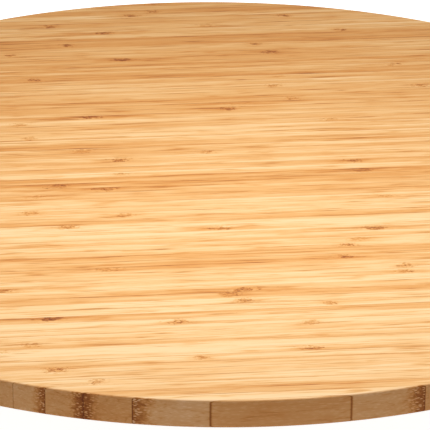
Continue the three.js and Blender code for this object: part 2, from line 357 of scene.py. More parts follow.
def place_group(group, place, **values):
    """Puts in a group whose first input is a place. Its other inputs are named with _ for a space."""
    made = new_node("ShaderNodeGroup", (place,), node_tree=group)
    for label, value in values.items():
        plug(made.inputs[label.replace("_", " ")], value)
    return made.outputs


# %% [markdown]
# Every finish starts from the same few nodes: object coordinates and a Principled BSDF. Object coordinates
# stay with the piece, so a pattern doesn't slide when the board turns. And every finish ends in the same
# three inputs: colour, roughness, and a normal from the height of the pattern's fine relief.

# %% Helpers that start and end a material
def new_material(name):
    """A material with nodes, as (material, object coordinates, its Principled BSDF)."""
    material = bpy.data.materials.new(name)
    material.use_nodes = True
    coordinates = material.node_tree.nodes.new("ShaderNodeTexCoord")
    return material, coordinates.outputs["Object"], material.node_tree.nodes["Principled BSDF"]


def set_finish(shader, colour, roughness, height, relief):
    """Feeds a Principled BSDF. The height is 0 to 1, and the relief is what 1 stands for, in millimetres."""
    bump = shader.id_data.nodes.new("ShaderNodeBump")
    bump.inputs["Strength"].default_value = 1.0
    bump.inputs["Distance"].default_value = relief * MM
    plug(bump.inputs["Height"], height)
    plug(shader.inputs["Base Color"], colour)
    plug(shader.inputs["Roughness"], roughness)
    plug(shader.inputs["Normal"], bump.outputs["Normal"])


# %% [markdown]
# ## Bamboo
#
# A bamboo board is glued from strips stood on edge. Each strip is a piece of a hollow stem's wall, so its
# width here is the wall's thickness, 5.8 mm, and three things about it show:
#
# - Its fibres run in bundles along the strip. They crowd together and darken towards what was the stem's
#   skin, which may be either side of the strip.
# - It has its own tone, from cream to caramel, because each comes from another stem.
# - Every 25 cm or so it crosses one of the stem's rings. There the fibres swerve, and a small dark scar
#   shows.
#
# A picture of wood would be the quick way, but it would have no rim: on the rim the same strips are cut
# across, and their bundles show as dots. So the bamboo is a solid pattern in millimetres: strips are
# counted along Y, and fibres are cells stretched along X. Any cut through it then looks right, the rim as
# well as the face.

# %% Bamboo: what a strip is made of
BAMBOO_INPUTS = {
    "Position": "vector",
    "Strip Width": "value",
    "Strip Shift": "value",
    "Seed": "value",
    "Rim Radius": "value",
}
BAMBOO_OUTPUTS = {"Tone": "value", "Shade": "colour", "Roughness": "value", "Height": "value"}

bamboo_group, bamboo_in, bamboo_out = new_group("bamboo strips", BAMBOO_INPUTS, BAMBOO_OUTPUTS)


def in_millimetres(place):
    """The three parts of a place, in millimetres."""
    scaled = new_node("ShaderNodeVectorMath", (place,), operation="SCALE")
    scaled.inputs["Scale"].default_value = 1 / MM
    return new_node("ShaderNodeSeparateXYZ", (scaled.outputs[0],)).outputs


def random_values(number, seed):
    """Three random values from 0 to 1 for each strip number."""
    white = new_node("ShaderNodeTexWhiteNoise", (vector(number, seed),), noise_dimensions="2D")
    split = new_node("ShaderNodeSeparateColor", (white.outputs["Color"],))
    return list(split.outputs[:3])


x, y, z = in_millimetres(bamboo_in["Position"])
row = calc("DIVIDE", calc("ADD", y, bamboo_in["Strip Shift"]), bamboo_in["Strip Width"])
number = calc("FLOOR", row)
share = calc("SUBTRACT", row, number)
dice = random_values(number, bamboo_in["Seed"])
dice += random_values(number, calc("ADD", bamboo_in["Seed"], 71.9))
print("each strip gets", len(dice), "random values")

# %% [markdown]
# The skin side of a strip is on its left or its right, by the roll of a die. `skin` goes from 0 on the pale
# inner side to 1 on the dense outer side. Next to its own tone, a strip's tone drifts along its length. On
# top of that, the board is painted darker towards +Y, which is its back. That is a painted shade of the
# lamp's light falling off towards the back.

# %% Bamboo: skin side and tone
STRIP_TONES = 0.8
SLOW_TONES = 1.0
# Painted shade: how much darker the board is painted towards its back.
BACK_PAINTED_SHADE = 0.75

flipped = calc("GREATER_THAN", dice[0], 0.5)
side_gap = calc("SUBTRACT", 1.0, multiply(share, 2.0))
skin = calc("ADD", share, multiply(flipped, side_gap))
strip_tone = multiply(calc("POWER", dice[1], 1.5), STRIP_TONES)
slow_place = vector(multiply(x, 1 / 95), multiply(number, 7.31), bamboo_in["Seed"])
slow_tone = middled(noise(slow_place, detail=2.0), SLOW_TONES)
# Painted shade: the board is painted darker towards +Y, its back, where the lamp's light falls off.
board_share = calc("DIVIDE", y, bamboo_in["Rim Radius"])
back_painted_shade = multiply(fade(board_share, -1.0, 1.0), BACK_PAINTED_SHADE)
print("tone gets up to", STRIP_TONES, "from the strip and", BACK_PAINTED_SHADE, "across the board")

# %% [markdown]
# The stem's rings come at their own spacing in each strip, and some leave a stronger mark than others. This
# cell only measures: `ring_distance` is how far along the strip the nearest ring is, and `middle_distance`
# is how far across the strip its scar is. `swirl` is a noise of a few millimetres that the scars and the
# fibres share, so that the fibres bend round the scars.

# %% Bamboo: rings of the stem
RING_SPACING = 250
SPACING_RANGE = 90

least_spacing = RING_SPACING - SPACING_RANGE / 2
spacing = calc("MULTIPLY_ADD", dice[2], SPACING_RANGE, least_spacing)
turns = calc("ADD", calc("DIVIDE", x, spacing), multiply(dice[3], 9.0))
ring_share = calc("SUBTRACT", calc("FRACT", turns), 0.5)
ring_distance = multiply(ring_share, spacing)
ring_strength = fade(dice[4], 0.0, 0.7, 0.3, 1.0)
middle_distance = calc("SUBTRACT", skin, calc("MULTIPLY_ADD", dice[5], 0.3, 0.4))
swirl_place = vector(multiply(x, 0.3), multiply(y, 0.55), multiply(z, 0.55))
swirl = noise(swirl_place, detail=1.5, roughness=0.6, distortion=1.6)
print("rings come every", RING_SPACING, "mm on average")

# %% [markdown]
# Bundles of fibres run all along a strip. A cut along them shows streaks, and a cut across them shows dots.
# Four patterns, each stretched along X, make them: broad soft bands, patches as long as a finger is wide,
# hair-fine grain, and thin dark lines. A line is where a stretched noise crosses one value, so it wanders,
# and a second noise fades it in and out, as a real vessel does. Near a ring the fibres swerve sideways, and
# everywhere they sway a little. A cell's length and width are in millimetres.

# %% Bamboo: fibres
SWERVE_LENGTH = 6.0
SWERVE = 2.6
SWAY = 1.6
BROAD_CELL = (95, 2.3)
PATCH_CELL = (17, 2.0)
FINE_CELL = (34, 0.75)
LINE_CELL = (85, 2.1)
LINE_FADE_CELL = (30, 1.6)
LINE_LEVEL = 0.47
LINE_WIDTH = 0.03

swerve = multiply(hump(ring_distance, SWERVE_LENGTH), middled(swirl, SWERVE))
sway_place = vector(multiply(x, 1 / 45), multiply(number, 3.3), 5.0)
sway = middled(noise(sway_place, detail=1.0), SWAY)
fibre_y = add_all(y, swerve, sway)
fibre_x = calc("ADD", x, multiply(number, 137.0))


def stretched(length, width):
    """A place in cells that are long along the strip and narrow across it, in millimetres."""
    across = 1 / width
    parts = multiply(fibre_x, 1 / length), multiply(fibre_y, across), multiply(z, across)
    return vector(*parts)


broad = noise(stretched(*BROAD_CELL), detail=1.0)
patch = noise(stretched(*PATCH_CELL), detail=2.0, roughness=0.55)
fine = noise(stretched(*FINE_CELL), detail=3.0, roughness=0.65)
lines = noise(stretched(*LINE_CELL), detail=1.0, roughness=0.5)
line_fade = noise(stretched(*LINE_FADE_CELL), detail=1.0)
whole_line = hump(calc("SUBTRACT", lines, LINE_LEVEL), LINE_WIDTH)
line = multiply(whole_line, fade(line_fade, 0.42, 0.60))
dark_patch = fade(patch, 0.58, 0.72)
print("cells of the broad bands are", BROAD_CELL, "mm, and of the fine grain", FINE_CELL)

# %% [markdown]
# Each pattern adds its own amount of tone. The darkest patches add some more, and so does the skin side.

# %% Bamboo: how much tone each pattern adds
BROAD_TONE = 1.4
PATCH_TONE = 0.9
FINE_TONE = 1.3
LINE_TONE = 0.95
DARK_PATCH_TONE = 0.4
SKIN_TONE = 0.4

broad_tone = middled(broad, BROAD_TONE)
patch_tone = middled(patch, PATCH_TONE)
fine_tone = middled(fine, FINE_TONE)
line_tone = multiply(line, LINE_TONE)
dark_patch_tone = multiply(dark_patch, DARK_PATCH_TONE)
skin_tone = middled(skin, SKIN_TONE)
print("a line adds", LINE_TONE, "and a dark patch", DARK_PATCH_TONE)

# %% [markdown]
# Where a strip crosses a ring, a soft stain lies along it, long in some strips and missing in others. In
# its middle are the scars, a scribble of short dark lines no wider than the strip.

# %% Bamboo: scars and stains
SCAR_REACH = 3.6
SCAR_REACH_RANGE = 4.0
SCAR_TONE = 1.8
STAIN_REACH = 6.0
STAIN_REACH_RANGE = 30.0
STAIN_TONE = 0.35
STAIN_TONE_RANGE = 0.8

scar_reach = calc("MULTIPLY_ADD", dice[5], SCAR_REACH_RANGE, SCAR_REACH)
scar_mask = multiply(hump(ring_distance, scar_reach), hump(middle_distance, 0.46))
scar_line = hump(middled(swirl, 1.0), 0.05)
scar_noise = noise(swirl_place, scale=1.5, detail=2.0, roughness=0.6)
scar_shape = fade(calc("ADD", scar_mask, middled(scar_noise, 2.4)), 0.5, 1.0)
scar = multiply(scar_shape, calc("MULTIPLY_ADD", scar_line, 0.8, 0.35))
stain_reach = calc("MULTIPLY_ADD", calc("POWER", dice[5], 3.0), STAIN_REACH_RANGE, STAIN_REACH)
stain_edge = multiply(hump(ring_distance, stain_reach), hump(middle_distance, 0.42))
stain = multiply(stain_edge, fade(patch, 0.3, 0.62, 0.25, 1.0))
scar_tone = multiply(scar, ring_strength, SCAR_TONE)
stain_strength = calc("MULTIPLY_ADD", dice[5], STAIN_TONE_RANGE, STAIN_TONE)
stain_tone = multiply(stain, ring_strength, stain_strength)
print("scars are", round(2 * SCAR_REACH), "to", round(2 * (SCAR_REACH + SCAR_REACH_RANGE)), "mm long")

# %% [markdown]
# The joint between two strips is a line of glue 0.1 to 0.3 mm wide. It is dark in some places and can't be
# seen in others. The rim is cut across the fibres and drinks more oil, so it is darker and its joints show
# more. The rim is found by its distance from the axis.

# %% Bamboo: joints and rim
FACE_JOINT_TONE = 1.2
RIM_JOINT_TONE = 1.5
FACE_JOINT_WIDTH = 0.17
RIM_JOINT_WIDTH = 0.055
RIM_BAND = 0.7

other_side = calc("SUBTRACT", 1.0, share)
edge_distance = multiply(calc("MINIMUM", share, other_side), bamboo_in["Strip Width"])
joint_number = calc("ROUND", row)
joint_place = vector(multiply(x, 1 / 90), multiply(joint_number, 3.7), 0.0)
joint_strength = fade(noise(joint_place, detail=1.0), 0.36, 0.62, 0.0, FACE_JOINT_TONE)
from_axis = new_node("ShaderNodeVectorMath", (vector(x, y, 0.0),), operation="LENGTH")
from_rim = calc("SUBTRACT", bamboo_in["Rim Radius"], from_axis.outputs["Value"])
rim = fade(from_rim, RIM_BAND, 0.1)
face_joint = multiply(hump(edge_distance, FACE_JOINT_WIDTH), joint_strength)
rim_joint = multiply(hump(edge_distance, RIM_JOINT_WIDTH), RIM_JOINT_TONE)
joint = calc("MULTIPLY_ADD", rim, calc("SUBTRACT", rim_joint, face_joint), face_joint)
print("the rim's darker band begins", RIM_BAND, "mm in")

# %% [markdown]
# Cut across, the bundles are pale dots in dark wood, and they crowd together at the skin side. Each bundle
# is a cell of a Voronoi texture. The cells are short, because bundles wander, so that even where the rim
# runs nearly along the fibres a bundle shows for a few millimetres only.

# %% Bamboo: bundles on the rim
BUNDLE_WIDTH = 0.65
BUNDLE_LENGTH = 3.5
RIM_TONE = 0.9
RIM_SKIN_TONE = 1.7

cells = new_node("ShaderNodeTexVoronoi", (stretched(BUNDLE_LENGTH, BUNDLE_WIDTH),), feature="F1")
cells.inputs["Scale"].default_value = 1.0
dot = fade(cells.outputs["Distance"], 0.45, 0.2)
dense = fade(add_all(skin, middled(swirl, 0.5)), 0.6, 1.02)
skin_dots = multiply(dense, calc("SUBTRACT", 1.0, multiply(dot, 1.15)))
rim_dots = add_all(multiply(skin_dots, RIM_SKIN_TONE), middled(dot, -0.3))
rim_tone = multiply(rim, add_all(RIM_TONE, rim_dots))
face_dots = multiply(dense, middled(dot, -0.2))
print("bundles are", BUNDLE_WIDTH, "mm wide")

# %% [markdown]
# The tones add up to one number, which a colour ramp in each material turns into colour. Scars, glue lines
# and the dark skin side are greyer than that colour, so `Shade` darkens them a little more, all colours
# alike. The cut ends on the rim are greyer too, and get some blue back. Fibres stand a few hundredths of a
# millimetre proud of the softer wood between them, so the same values make the height.

# %% Bamboo: add it up
BASE_TONE = 0.12
RIM_GREY = 0.25
RIM_FACE_SHARE = 0.5
RIM_MARK_SHARE = 0.45
RIM_SHADE_SHARE = 0.3
SCAR_SHADE = 0.6
DARKEST_MARK = 3.0
DARKEST_SHADE = 0.5
OILED_ROUGHNESS = 0.42
BASE_HEIGHT = 0.4

face_tones = add_all(strip_tone, slow_tone, back_painted_shade, broad_tone, patch_tone, fine_tone, skin_tone)
face_tones = multiply(face_tones, fade(rim, 0.0, 1.0, 1.0, RIM_FACE_SHARE))
marks = add_all(line_tone, dark_patch_tone, scar_tone, stain_tone, face_dots)
marks = multiply(marks, fade(rim, 0.0, 1.0, 1.0, RIM_MARK_SHARE))
tone = add_all(BASE_TONE, face_tones, marks, rim_tone, joint)
plug(bamboo_out["Tone"], tone)
dark_marks = add_all(line_tone, multiply(scar_tone, SCAR_SHADE))
face_marks = multiply(dark_marks, fade(rim, 0.0, 1.0, 1.0, RIM_SHADE_SHARE))
burnt = add_all(face_marks, joint, multiply(rim, skin_dots))
shade = fade(burnt, 0.0, DARKEST_MARK, 1.0, DARKEST_SHADE)
blue_shade = multiply(shade, calc("MULTIPLY_ADD", rim, RIM_GREY, 1.0))
plug(bamboo_out["Shade"], vector(shade, shade, blue_shade))
rough = add_all(OILED_ROUGHNESS, multiply(fine, 0.12), multiply(rim, 0.15), multiply(scar, 0.1))
plug(bamboo_out["Roughness"], rough)
height = add_all(BASE_HEIGHT, multiply(fine, 0.3), multiply(dot, 0.1), multiply(joint, -0.3))
plug(bamboo_out["Height"], height)
print("the bamboo group has", len(bamboo_group.nodes), "nodes")

# %% [markdown]
# Wood darkens like tea: the more of it, the less light of each colour gets through, and blue goes first. So
# the ramp isn't painted by eye. Its stops come from one pale colour and how fast each colour fades as the
# tone rises. The palest tones are drawn together, because no strip is paler than clean fibres are, and past
# `CHAR_TONE` all colours lose an equal share more, as in a burnt mark.

# %% Bamboo: the two boards' materials
COLOUR_FADE = (0.20, 0.51, 1.08)
PALE_TONE = 0.2
PALE_SOFT = 0.15
CHAR_TONE = 1.8
CHAR_FADE = 0.22
DARKEST_TONE = 4.0
RAMP_STOPS = 21
STRIP = 5.77
GRAIN_RELIEF = 0.03


def bamboo_material(name, pale, seed, rim_radius, strip_shift, turn):
    material, place, shader = new_material(name)
    mapping = new_node("ShaderNodeMapping", (place,))
    mapping.inputs["Rotation"].default_value = (0, 0, turn)
    board_values = {"Strip_Width": STRIP, "Strip_Shift": strip_shift, "Seed": seed, "Rim_Radius": rim_radius}
    wood = place_group(bamboo_group, mapping.outputs[0], **board_values)
    ramp = new_node("ShaderNodeValToRGB", (calc("DIVIDE", wood["Tone"], DARKEST_TONE),))
    stops = ramp.color_ramp.elements
    while len(stops) < RAMP_STOPS:
        stops.new(0.5)
    for i, stop in enumerate(stops):
        tone = DARKEST_TONE * i / (RAMP_STOPS - 1)
        tone = PALE_TONE + PALE_SOFT * math.log(1 + math.exp((tone - PALE_TONE) / PALE_SOFT))
        char = math.exp(-CHAR_FADE * max(0.0, tone - CHAR_TONE))
        stop.position = i / (RAMP_STOPS - 1)
        stop.color = (*(part * char * math.exp(-tone * speed) for part, speed in zip(pale, COLOUR_FADE)), 1)
    colours = (ramp.outputs["Color"], wood["Shade"])
    shaded = new_node("ShaderNodeVectorMath", colours, operation="MULTIPLY")
    set_finish(shader, shaded.outputs[0], wood["Roughness"], wood["Height"], GRAIN_RELIEF)
    shader.inputs["IOR"].default_value = 1.46
    shader.inputs["Specular IOR Level"].default_value = 0.3
    return material


top_low, top_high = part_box("turntable_top")
base_low, base_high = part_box("base_disc")
OILED_PALE = (0.95, 0.685, 0.405)
PLAIN_PALE = (0.93, 0.64, 0.36)
oiled_bamboo = bamboo_material(
    "oiled_bamboo", OILED_PALE, seed=4.0, rim_radius=top_high.x / MM, strip_shift=1.77, turn=0.0
)
plain_bamboo = bamboo_material(
    "plain_bamboo", PLAIN_PALE, seed=9.0, rim_radius=base_high.x / MM, strip_shift=0.6, turn=TURN / 4
)
print("made", oiled_bamboo.name, "and", plain_bamboo.name, "with strips of", STRIP, "mm")

# %% [markdown]
# ## Metal, nylon and rubber
#
# The bearing and the screws are steel with a thin coat of zinc. Zinc plate is grey with a touch of blue,
# never quite even: it is cloudy at the size of a fingertip, and the rollers that made the sheet leave fine
# lines. One group makes clouds, lines and specks, and each metal material uses it with its own sizes.

# %% Plated steel: clouds, lines and specks
WEAR_INPUTS = {"Position": "vector", "Cloud Size": "value", "Line Size": "value", "Line Share": "value"}
WEAR_OUTPUTS = {"Clouds": "value", "Lines": "value", "Specks": "value"}

wear_group, wear_in, wear_out = new_group("metal wear", WEAR_INPUTS, WEAR_OUTPUTS)
parts = in_millimetres(wear_in["Position"])
metal_x, metal_y, metal_z = parts
cloud_place = vector(*(calc("DIVIDE", part, wear_in["Cloud Size"]) for part in parts))
plug(wear_out["Clouds"], noise(cloud_place, detail=4.0, roughness=0.62, distortion=0.4))
line_place = vector(
    multiply(metal_x, 0.02),
    calc("DIVIDE", metal_y, wear_in["Line Size"]),
    calc("DIVIDE", metal_z, wear_in["Line Size"]),
)
roller_lines = noise(line_place, detail=3.0, roughness=0.7)
plug(wear_out["Lines"], multiply(roller_lines, wear_in["Line Share"]))
specks = noise(vector(*parts), scale=3.1, detail=1.0)
plug(wear_out["Specks"], fade(specks, 0.62, 0.75))
print("the metal group has", len(wear_group.nodes), "nodes")

# %% [markdown]
# Each finish mixes a bright and a dull grey by the clouds, and the specks are darker still. Where it is
# clouded or specked it is also rougher. The sheet has long roller lines, and the screws, which tumbled in
# the plating drum, have hardly any.

# %% Plated steel: three finishes
def metal_material(name, bright, dull, roughness, cloud_size, line_size, line_share, relief):
    material, place, shader = new_material(name)
    sheet_values = {"Cloud_Size": cloud_size, "Line_Size": line_size, "Line_Share": line_share}
    wear = place_group(wear_group, place, **sheet_values)
    cloudy = mix_colours(fade(wear["Clouds"], 0.35, 0.65), (*bright, 1), (*dull, 1))
    speck_colour = (*(part * 0.45 for part in dull), 1)
    shade = mix_colours(multiply(wear["Specks"], 0.5), cloudy, speck_colour)
    rough = add_all(
        roughness - 0.1,
        multiply(wear["Clouds"], 0.16),
        multiply(wear["Lines"], 0.1),
        multiply(wear["Specks"], 0.2),
    )
    clouds = multiply(wear["Clouds"], 0.5)
    height = add_all(wear["Lines"], clouds, multiply(wear["Specks"], -0.2))
    set_finish(shader, shade, rough, height, relief)
    shader.inputs["Metallic"].default_value = 1.0
    return material


ZINC = (0.62, 0.64, 0.66)
ZINC_DULL = (0.45, 0.47, 0.50)
ZINC_WARM = (0.68, 0.69, 0.68)
STEEL_DULL = (0.50, 0.51, 0.53)
zinc_sheet = metal_material(
    "zinc_sheet", ZINC, ZINC_DULL, 0.36, cloud_size=14.0, line_size=0.35, line_share=1.0, relief=0.012
)
zinc_on_screws = metal_material(
    "zinc_on_screws", ZINC_WARM, ZINC_DULL, 0.30, cloud_size=3.0, line_size=0.5, line_share=0.3, relief=0.008
)
washer_steel = metal_material(
    "washer_steel", ZINC, STEEL_DULL, 0.33, cloud_size=5.0, line_size=0.3, line_share=0.6, relief=0.01
)
print("made three zinc finishes from one group")

# %% [markdown]
# Bearing balls are ground and lapped until they are mirrors. What breaks the mirror is grease: thick in
# some places, wiped thin in others. So their roughness goes up and down in smears, and their colour hardly
# changes.

# %% Polished balls with a film of grease
polished_steel, place, shader = new_material("polished_steel")
smears = noise(place, scale=900, detail=3.0, roughness=0.6, distortion=1.5)
film = fade(smears, 0.4, 0.65)
steel_colour = mix_colours(film, (0.80, 0.81, 0.83, 1), (0.66, 0.63, 0.55, 1))
steel_roughness = fade(smears, 0.4, 0.65, 0.06, 0.28)
set_finish(shader, steel_colour, steel_roughness, smears, relief=0.01)
shader.inputs["Metallic"].default_value = 1.0
print("made", polished_steel.name)

# %% [markdown]
# The cage is natural nylon, the milky kind without dye. Light goes a little way in and comes out beside
# where it went in, which subsurface scattering does. It takes up grease near the balls, in faint yellow
# patches.

# %% Nylon cage
natural_nylon, place, shader = new_material("natural_nylon")
patches = noise(place, scale=180, detail=3.0, roughness=0.6)
grain = noise(place, scale=2600, detail=2.0)
stained = fade(patches, 0.45, 0.7)
nylon_colour = mix_colours(stained, (0.80, 0.78, 0.71, 1), (0.66, 0.58, 0.42, 1))
set_finish(shader, nylon_colour, fade(grain, 0.3, 0.7, 0.38, 0.55), grain, relief=0.02)
shader.inputs["Subsurface Weight"].default_value = 0.25
shader.inputs["Subsurface Scale"].default_value = 1.0 * MM
print("made", natural_nylon.name)

# %% [markdown]
# The feet are moulded rubber, black and matt. Rubber is never pure black: it has a fine grain from the
# mould, and dust from the table lies in it as paler specks.

# %% Rubber feet
black_rubber, place, shader = new_material("black_rubber")
grain = noise(place, scale=1400, detail=3.0, roughness=0.65)
dust = noise(place, scale=520, detail=4.0, roughness=0.7)
dusty = fade(dust, 0.5, 0.72, 0.0, 0.6)
rubber_colour = mix_colours(dusty, (0.018, 0.018, 0.019, 1), (0.075, 0.072, 0.068, 1))
set_finish(shader, rubber_colour, fade(grain, 0.3, 0.7, 0.62, 0.85), grain, relief=0.06)
print("made", black_rubber.name)

# %% [markdown]
# ## The board
#
# The board is a flat disc with a rounded edge and four blind holes underneath for the bearing's screws. It
# could be a cylinder with a Bevel modifier and four booleans, but those leave stray edges on the flat face.
# Here the rim is a rounded line spun about the axis, the top is one flat face, and the underside is filled
# round the mouths of the holes, so every edge is one that a maker would know. Sizes that the frame holds are
# measured from its plain nodes.

# %% The board's sizes
def size_of(node):
    """The sides of a plain node's box, in millimetres."""
    low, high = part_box(node)
    return (high - low) / MM


def middle_of(node):
    """The middle of a plain node's box, in millimetres."""
    low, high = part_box(node)
    return (low + high) / (2 * MM)


SHANK = 1.75
PILOT = SHANK + 0.3
SCREW_CIRCLE = middle_of("lower_plate_screw_1").xy.length
BOARD_THICKNESS = size_of("turntable_top").z
PLATE_PILOT_COVER = 2.8
PILOT_FACETS = 20
BOARD_EASING = 0.9
BOARD_STEPS = 256
corners = [math.radians(45 + 90 * i) for i in range(4)]
sides = [math.radians(90 * i) for i in range(4)]


def around(radius, direction):
    """A place in millimetres, from its distance and direction from the axis."""
    return radius * math.cos(direction), radius * math.sin(direction)


def board(low, high, easing, steps):
    """A disc's rim between two levels, as (bmesh, its lower open loop, its upper open loop)."""
    radius = high.x / MM
    bottom, top = low.z / MM, high.z / MM
    inner = radius - 2 * easing
    line = rounded([(inner, bottom), (radius, bottom, easing), (radius, top, easing), (inner, top)], steps=6)
    bm = spun(line, steps)
    return bm, open_loop(bm, inner, bottom), open_loop(bm, inner, top)


bm, under, over = board(top_low, top_high, BOARD_EASING, BOARD_STEPS)
fill(bm, over)
mouths = [circle(bm, PILOT, top_low.z / MM, PILOT_FACETS, around(SCREW_CIRCLE, side)) for side in sides]
fill(bm, under, *mouths)
for mouth in mouths:
    fill(bm, sink(bm, mouth, BOARD_THICKNESS - PLATE_PILOT_COVER))
add_piece(bm, "bamboo_board", "turntable", "turntable_top", oiled_bamboo)
board_size = [round(side, 1) for side in size_of("turntable_top")]
print("the board measures", board_size, "mm")

# %% [markdown]
# The base is a smaller disc of the same stuff, its strips across those of the board. It has eight blind
# holes and one that goes right through: a screwdriver goes up through it to the bearing's upper screws, one
# at a time, as the board is turned. Its edges are sanded rounder, because hands carry it by them.

# %% The base
FOOT_CIRCLE = middle_of("foot_1").xy.length
BASE_THICKNESS = size_of("base_disc").z
FOOT_PILOT_COVER = 1.45
DRIVER_HOLE = 10.0
DRIVER_FACETS = 48
BASE_EASING = 2.0
BASE_STEPS = 180
foot_places = [around(FOOT_CIRCLE, corner) for corner in corners]
base_bottom, base_top = base_low.z / MM, base_high.z / MM

bm, under, over = board(base_low, base_high, BASE_EASING, BASE_STEPS)
driver_place = around(SCREW_CIRCLE, sides[3])
driver_low = circle(bm, DRIVER_HOLE, base_bottom, DRIVER_FACETS, driver_place)
driver_high = circle(bm, DRIVER_HOLE, base_top, DRIVER_FACETS, driver_place)
plate_places = [around(SCREW_CIRCLE, corner) for corner in corners]
plate_mouths = [circle(bm, PILOT, base_top, PILOT_FACETS, place) for place in plate_places]
foot_mouths = [circle(bm, PILOT, base_bottom, PILOT_FACETS, place) for place in foot_places]
fill(bm, under, driver_low, *foot_mouths)
fill(bm, over, driver_high, *plate_mouths)
bmesh.ops.bridge_loops(bm, edges=driver_low + driver_high)
for mouth in plate_mouths:
    fill(bm, sink(bm, mouth, PLATE_PILOT_COVER - BASE_THICKNESS))
for mouth in foot_mouths:
    fill(bm, sink(bm, mouth, BASE_THICKNESS - FOOT_PILOT_COVER))
lips = [edge for edge in driver_low + driver_high if edge.is_valid]
ease(bm, lips, 0.5, segments=3)
add_piece(bm, "bamboo_base", "base", "base_disc", plain_bamboo)
print("the base is", round(size_of("base_disc").x), "mm across")

# %% [markdown]
# ## The bearing
#
# Each plate is pressed from 1.2 mm steel sheet: a square flange with four screw holes, a step up to a flat
# ring, and a groove in the ring that the balls run in. A press can't make a sharp corner, so each bend is
# rounded, more on its outside than on its inside. The pressed middle is one closed line spun about the
# axis, and the square flange is filled round it.
#
# The plates face each other. The upper one has a neck that goes down through the lower one's hole, and the
# end of the neck is rolled outwards. That is all that holds the two together.

# %% The bearing's section
SHEET = 1.2
GAP = 1.8
BALL = size_of("ball_01").z / 2
RACE = middle_of("ball_01").xy.length
BEARING_MIDDLE = middle_of("ball_01").z
BEARING_HALF = BEARING_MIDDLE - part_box("lower_bearing_plate")[0].z / MM
GROOVE = BALL + 0.15
GROOVE_BACK = math.sqrt((GROOVE + SHEET) ** 2 - (GAP / 2 + SHEET) ** 2)
LAND_END = RACE + GROOVE_BACK + 3.0
STEP_END = LAND_END + 2.5
FLANGE_START = STEP_END + 1.6
HOLE = RACE - GROOVE_BACK - 4.5
NECK_OUTSIDE = HOLE - 0.6
LIP_END = HOLE + 2.2
PLATE_HALF = size_of("lower_bearing_plate").x / 2
PLATE_CORNER = 12.0
PLATE_HOLE = SHANK + 0.75


def groove(radius, height, steps=10):
    """The arc of a groove under the height, from its outer edge to its inner edge."""
    edge = math.asin(height / radius)
    sweep = -math.pi - 2 * edge
    angles = [edge + sweep * i / steps for i in range(steps + 1)]
    return [(RACE + radius * math.cos(angle), radius * math.sin(angle)) for angle in angles]


def plate_line(inner_edge):
    """A plate's section, from the flange's upper side, in past the groove and back along the under side."""
    face = -GAP / 2
    back = face - SHEET
    flange = -BEARING_HALF
    over = groove(GROOVE, face)
    under = groove(GROOVE + SHEET, back)[::-1]
    return rounded(
        [
            (FLANGE_START, flange + SHEET),
            (STEP_END, flange + SHEET, 0.4),
            (LAND_END, face, 0.9),
            (*over[0], 0.12),
            *over[1:-1],
            (*over[-1], 0.12),
            *inner_edge(face, back),
            *under,
            (LAND_END, back, 0.4),
            (STEP_END, flange, 0.9),
            (FLANGE_START, flange),
        ]
    )


def cut_edge(face, back):
    return [(HOLE, face, 0.15), (HOLE, back, 0.15)]


def rolled_edge(face, back):
    """The neck and the lip, for a plate that lies with its flange down."""
    lip_gap = (BEARING_HALF - GAP / 2 - 2 * SHEET) / 2
    far = BEARING_HALF - lip_gap
    near = far - SHEET
    inside = NECK_OUTSIDE - SHEET
    return [
        (NECK_OUTSIDE, face, 0.3),
        (NECK_OUTSIDE, near, 0.35),
        (LIP_END, near, 0.3),
        (LIP_END, far, 0.3),
        (inside, far, 1.5),
        (inside, back, 1.5),
    ]


print("the bearing is", round(2 * BEARING_HALF, 2), "mm high")

# %% [markdown]
# The flange's outline is a square whose corners are rounded by bevelling its four corner points. The cut
# edges are eased, as tumbling in the plating drum eases them. The upper plate is a lower one with a neck,
# turned over and then turned by an eighth, so that its screws come between those of the lower one.

# %% The two plates
def square_loop(bm, height):
    """The edges of the flange's rounded square, at a height in millimetres."""
    centre = Matrix.Translation((0, 0, height * MM))
    side = PLATE_HALF * MM
    square = bmesh.ops.create_grid(bm, x_segments=1, y_segments=1, size=side, matrix=centre)["verts"]
    corner = PLATE_CORNER * MM
    made = bmesh.ops.bevel(
        bm, geom=square, offset=corner, segments=8, profile=0.5, affect="VERTICES", material=-1
    )
    face = made["verts"][0].link_faces[0]
    edges = list(face.edges)
    bmesh.ops.delete(bm, geom=[face], context="FACES_ONLY")
    return edges


def bearing_plate(inner_edge):
    bm = spun(plate_line(inner_edge), 180)
    loops = []
    for height in (-BEARING_HALF, -BEARING_HALF + SHEET):
        outline = square_loop(bm, height)
        holes = [circle(bm, PLATE_HOLE, height, 32, place) for place in plate_places]
        fill(bm, open_loop(bm, FLANGE_START, height), outline, *holes)
        loops.append([outline, *holes])
    for low_loop, high_loop in zip(*loops):
        bmesh.ops.bridge_loops(bm, edges=low_loop + high_loop)
    cut_edges = [edge for loop in loops[0] + loops[1] for edge in loop if edge.is_valid]
    ease(bm, cut_edges, 0.15)
    return bm


lower = copy_of(bearing_plate(cut_edge), (0, 0, BEARING_MIDDLE))
upper = bearing_plate(rolled_edge)
turn_over = Matrix.Rotation(TURN / 2, 4, "X")
bmesh.ops.transform(upper, matrix=turn_over, verts=upper.verts)
upper = copy_of(upper, (0, 0, BEARING_MIDDLE), turn=TURN / 8)
add_piece(lower, "lower_plate", "base", "lower_bearing_plate", zinc_sheet)
add_piece(upper, "upper_plate", "turntable", "upper_bearing_plate", zinc_sheet)
print("the plates are", 2 * PLATE_HALF, "mm square")

# %% [markdown]
# The balls sit in a flat nylon ring that keeps them apart. One sector of its face is filled round one
# pocket, copied round until the ring is whole, and drawn up by its thickness, which makes all the walls at
# once. The balls are real spheres, fine enough to stay round in their highlights. As the board turns, the
# ring and its balls follow at half its speed.

# %% The cage and the balls
BALL_COUNT = 24
POCKET = BALL + 0.25
CAGE_HALF = size_of("ball_cage").z / 2
CAGE_REACH = size_of("ball_cage").x / 2 - RACE
step = TURN / BALL_COUNT

